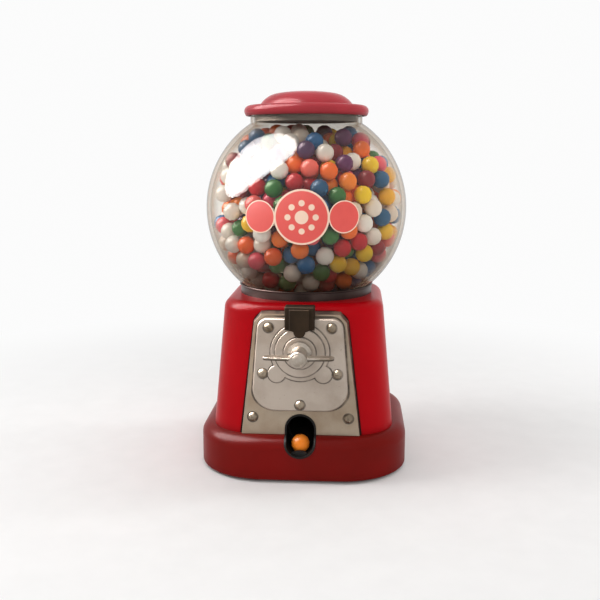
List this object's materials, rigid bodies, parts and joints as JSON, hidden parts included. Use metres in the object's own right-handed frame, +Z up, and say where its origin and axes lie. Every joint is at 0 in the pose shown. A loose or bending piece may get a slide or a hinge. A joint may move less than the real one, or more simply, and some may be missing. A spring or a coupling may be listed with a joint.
{
  "type": "gumball machine",
  "caption": "Counter-top gumball machine: glass globe of gumballs with a lift-off lid on a tapered red body, coin entry, wing handle, geared dispensing wheel, chute and oval outlet.",
  "frame": {"origin": "mouth of the stand bolt's hole, under the globe's axis on the surface that the feet stand on", "axes": "+Z up, front of the machine towards -Y, +X to the right seen from the front"},
  "size_m": [0.164, 0.1855, 0.2947],
  "materials": {
    "base_enamel": "dark red enamel",
    "body_enamel": "bright red enamel",
    "lid_enamel": "red enamel",
    "plate_nickel": "worn nickel plate",
    "cover_nickel": "worn nickel plate",
    "handle_nickel": "nickel plate",
    "screw_nickel": "nickel plate",
    "entry_bronze": "dark bronze lacquer",
    "ring_bronze": "dark lacquer",
    "steel": "plain steel",
    "brass": "turned brass",
    "cast_zinc": "as cast",
    "outlet_black": "black",
    "globe_glass": "clear blown glass",
    "seal_rubber": "black rubber",
    "gum_white": "candy shell",
    "gum_red": "candy shell",
    "gum_orange": "candy shell",
    "gum_yellow": "candy shell",
    "gum_green": "candy shell",
    "gum_blue": "candy shell",
    "gum_purple": "candy shell",
    "gum_pink": "candy shell"
  },
  "bodies": {
    "cabinet": {"base_casting": "base_enamel", "body_shell": "body_enamel", "front_plate": "plate_nickel", "mechanism_cover": "cover_nickel", "cover_screws": "screw_nickel", "front_plate_screws": "screw_nickel", "coin_entry": "entry_bronze", "globe_ring": "ring_bronze", "base_plate": "steel", "base_plate_screws": "steel", "body_screws": "steel", "cover_nuts": "steel", "coin_dog_pin": "steel", "pawl_pin": "steel", "pawl_spring": "steel", "spring_post": "steel", "standoffs": "steel", "mechanism_frame": "steel", "wheel_axle": "steel", "axle_nut": "steel", "hopper_screws": "steel", "pocket_guard": "steel", "front_bush": "brass", "rear_bush": "brass", "hopper": "cast_zinc", "outlet_sleeve": "outlet_black", "delivery_chute": "outlet_black", "globe": "globe_glass", "globe_gasket": "seal_rubber", "rubber_feet": "seal_rubber", "stand_grommet": "seal_rubber", "gumballs_white": "gum_white", "gumballs_red": "gum_red", "gumballs_orange": "gum_orange", "gumballs_yellow": "gum_yellow", "gumballs_green": "gum_green", "gumballs_blue": "gum_blue", "gumballs_purple": "gum_purple", "gumballs_pink": "gum_pink"},
    "handle": {"wing_handle": "handle_nickel", "handle_cap": "handle_nickel", "drive_shaft": "steel", "coin_wheel": "steel", "ratchet_wheel": "steel", "drive_pinion": "brass"},
    "wheel": {"dispensing_wheel": "cast_zinc", "agitator": "steel", "pocket_gumballs": "gum_yellow"},
    "pawl": {"pawl": "steel"},
    "coin_dog": {"coin_dog": "steel"},
    "lid": {"lid": "lid_enamel", "lid_plug": "steel", "lid_gasket": "seal_rubber"},
    "vended": {"vended_gumball": "gum_orange"}
  },
  "joints": [
    {"name": "handle_turn", "type": "hinge", "parent": "cabinet", "child": "handle", "pos_m": [0, -0.09, 0.101], "axis": [0, 1, 0], "range_deg": [0, 360]},
    {"name": "wheel_turn", "type": "hinge", "parent": "cabinet", "child": "wheel", "pos_m": [0, 0, 0.115], "axis": [0, 0, 1], "range_deg": [0, 60]},
    {"name": "pawl_rock", "type": "hinge", "parent": "cabinet", "child": "pawl", "pos_m": [-0.01967, -0.0664, 0.11119], "axis": [0, 1, 0], "range_deg": [0, 7.5], "stiffness_Nm_per_rad": 0.002, "springref_deg": 7.45},
    {"name": "coin_dog_lift", "type": "hinge", "parent": "cabinet", "child": "coin_dog", "pos_m": [0.01735, -0.0735, 0.12168], "axis": [0, -1, 0], "range_deg": [0, 26], "stiffness_Nm_per_rad": 0.002},
    {"name": "lid_lift", "type": "slide", "parent": "cabinet", "child": "lid", "axis": [0, 0, 1], "range_m": [0, 0.06]},
    {"name": "gumball_take", "type": "slide", "parent": "cabinet", "child": "vended", "axis": [0, -0.5736, 0.8192], "range_m": [0, 0.03]}
  ],
  "couplings": [
    {"joint": "wheel_turn", "follows": "handle_turn", "ratio": 0.16667}
  ]
}
